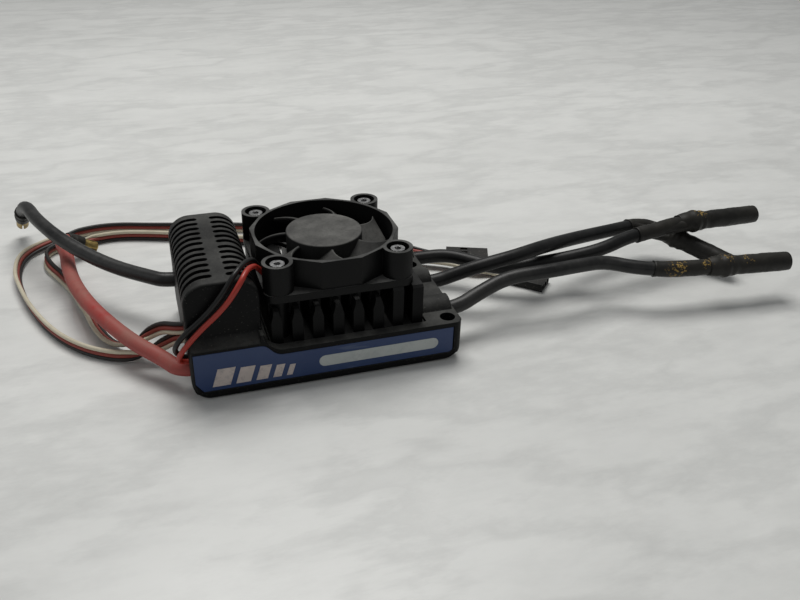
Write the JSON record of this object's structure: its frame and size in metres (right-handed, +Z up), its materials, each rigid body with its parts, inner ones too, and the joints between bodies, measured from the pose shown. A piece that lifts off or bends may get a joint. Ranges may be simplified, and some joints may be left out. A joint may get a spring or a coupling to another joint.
{
  "type": "electronic speed controller",
  "caption": "Vented two-piece case over a finned heatsink, with a square cooling fan on top, motor leads with bullet sockets, battery leads and flat signal leads.",
  "frame": {"origin": "middle of the case's underside", "axes": "+X from the battery end to the motor end, +Z up through the fan, +Y to the side away from the label"},
  "size_m": [0.2399, 0.1149, 0.0348],
  "materials": {
    "case_plastic": "matt moulded, dusty",
    "label_film": "printed film",
    "black_anodised": "black anodised",
    "fan_plastic": "moulded",
    "thermal_pad": "matt",
    "board_green": "solder mask",
    "chip_black": "moulded",
    "header_white": "moulded",
    "copper": "plain",
    "steel": "plain",
    "screw_steel": "blackened",
    "magnet": "plastic-bonded ferrite",
    "capacitor_sleeve": "sleeved can",
    "wire_black": "silicone, dusty",
    "wire_red": "silicone, dusty",
    "heat_shrink": "shrunk sleeve, dusty",
    "gold": "gold plated",
    "lead_ribbon": "three-colour ribbon",
    "plug_black": "moulded"
  },
  "bodies": {
    "body": {"battery_bullet_negative": "gold", "battery_bullet_positive": "gold", "battery_sleeve_negative": "heat_shrink", "battery_sleeve_positive": "heat_shrink", "battery_terminals": "copper", "battery_wire_negative": "wire_black", "battery_wire_positive": "wire_red", "board_pins": "steel", "capacitors": "capacitor_sleeve", "case_screws": "screw_steel", "control_board": "board_green", "fan_bearing": "copper", "fan_board": "board_green", "fan_coils": "copper", "fan_frame": "fan_plastic", "fan_header": "header_white", "fan_screws": "screw_steel", "fan_stator": "steel", "fan_wire_black": "wire_black", "fan_wire_red": "wire_red", "heatsink": "black_anodised", "lower_case": "case_plastic", "microcontroller": "chip_black", "mosfets": "chip_black", "motor_barrel_cover_a": "heat_shrink", "motor_barrel_cover_b": "heat_shrink", "motor_barrel_cover_c": "heat_shrink", "motor_bullet_a": "gold", "motor_bullet_b": "gold", "motor_bullet_c": "gold", "motor_sleeve_a": "heat_shrink", "motor_sleeve_b": "heat_shrink", "motor_sleeve_c": "heat_shrink", "motor_terminals": "copper", "motor_wire_a": "wire_black", "motor_wire_b": "wire_black", "motor_wire_c": "wire_black", "optocouplers": "chip_black", "power_board": "board_green", "side_label": "label_film", "signal_contacts_1": "gold", "signal_contacts_2": "gold", "signal_header": "chip_black", "signal_lead_1": "lead_ribbon", "signal_lead_2": "lead_ribbon", "signal_plug_1": "plug_black", "signal_plug_2": "plug_black", "thermal_pad": "thermal_pad", "upper_cover": "case_plastic"},
    "rotor": {"fan_rotor": "fan_plastic", "fan_shaft": "steel", "fan_shaft_clip": "steel", "fan_magnet": "magnet"}
  },
  "joints": [
    {"name": "fan_spin", "type": "hinge", "parent": "body", "child": "rotor", "pos_m": [0.004, 0, 0.028], "axis": [0, 0, 1], "continuous": true}
  ]
}
